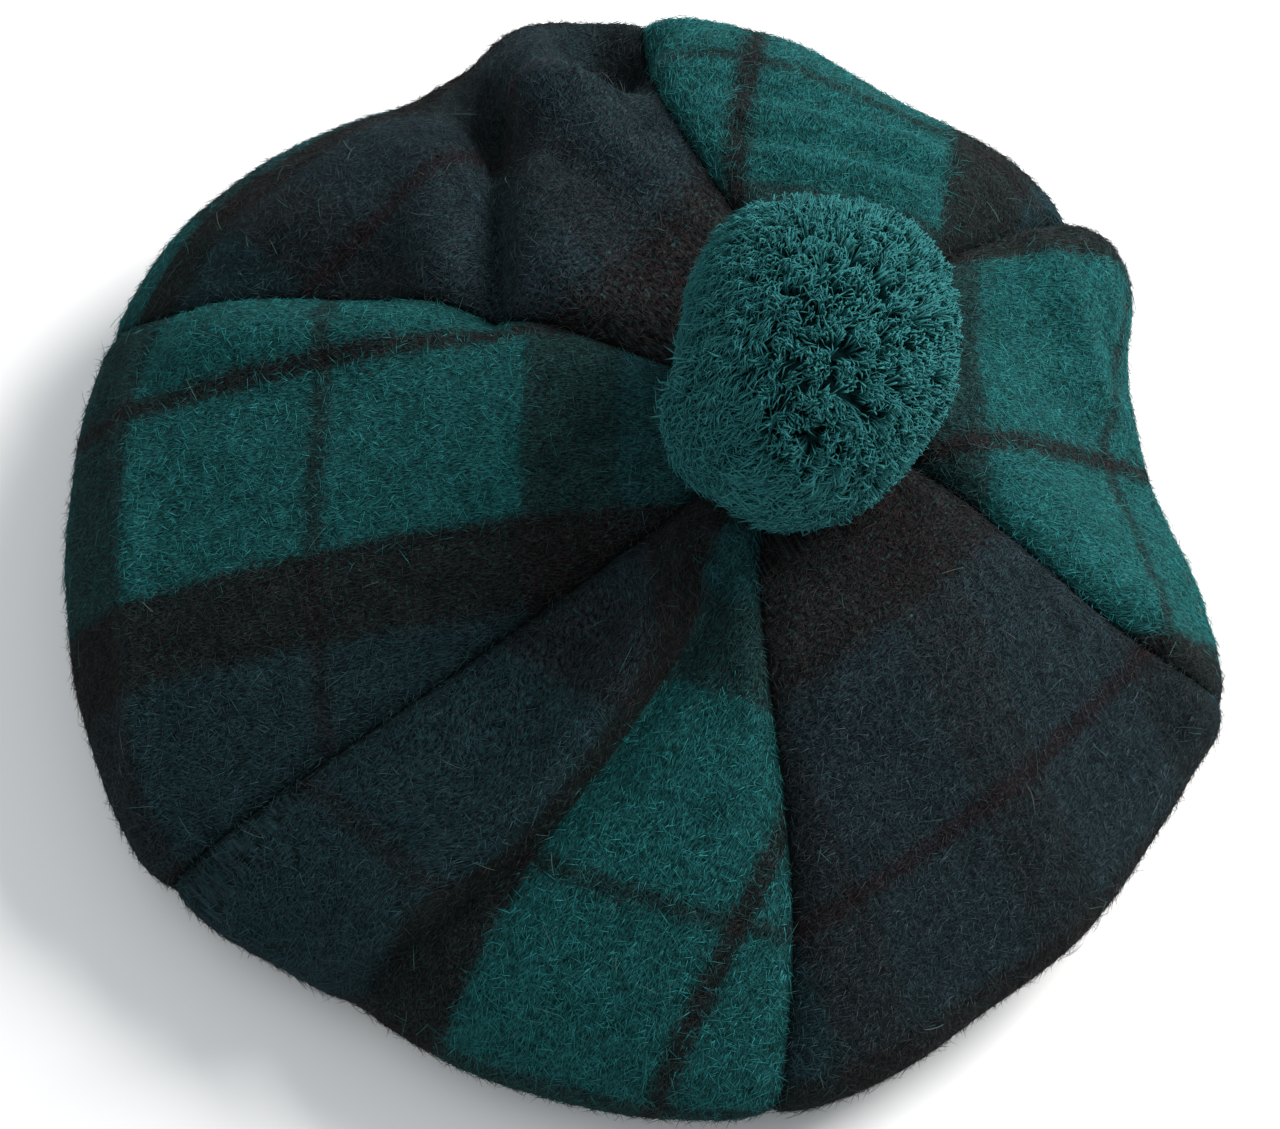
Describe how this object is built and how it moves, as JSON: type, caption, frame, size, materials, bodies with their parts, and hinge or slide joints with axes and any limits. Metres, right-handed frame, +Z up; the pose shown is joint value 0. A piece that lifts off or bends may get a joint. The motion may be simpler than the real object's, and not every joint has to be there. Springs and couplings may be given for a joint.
{
  "type": "tam o shanter",
  "caption": "soft round wool cap with a wide slumped crown of tartan gores, a close headband and a large teal wool pompom on the button, resting on its band",
  "frame": {"origin": "under the middle of the whole cap, on the surface it rests on", "axes": "+Z up through the crown; -Y is the front of the cap as it lies; +X is the side where the crown falls steepest"},
  "size_m": [0.292, 0.2966, 0.152],
  "materials": {
    "tartan_wool": "brushed woollen flannel in a dark green, navy and black tartan",
    "band_wool": "the same brushed tartan flannel, folded double and stitched",
    "pompom_wool": "soft teal wool yarn, cut and combed"
  },
  "bodies": {
    "root": {"gore_back_right": "tartan_wool", "gore_back_left": "tartan_wool", "gore_left": "tartan_wool", "gore_front_left": "tartan_wool", "gore_front_right": "tartan_wool", "gore_right": "tartan_wool", "headband": "band_wool", "pompom": "pompom_wool"}
  },
  "joints": []
}
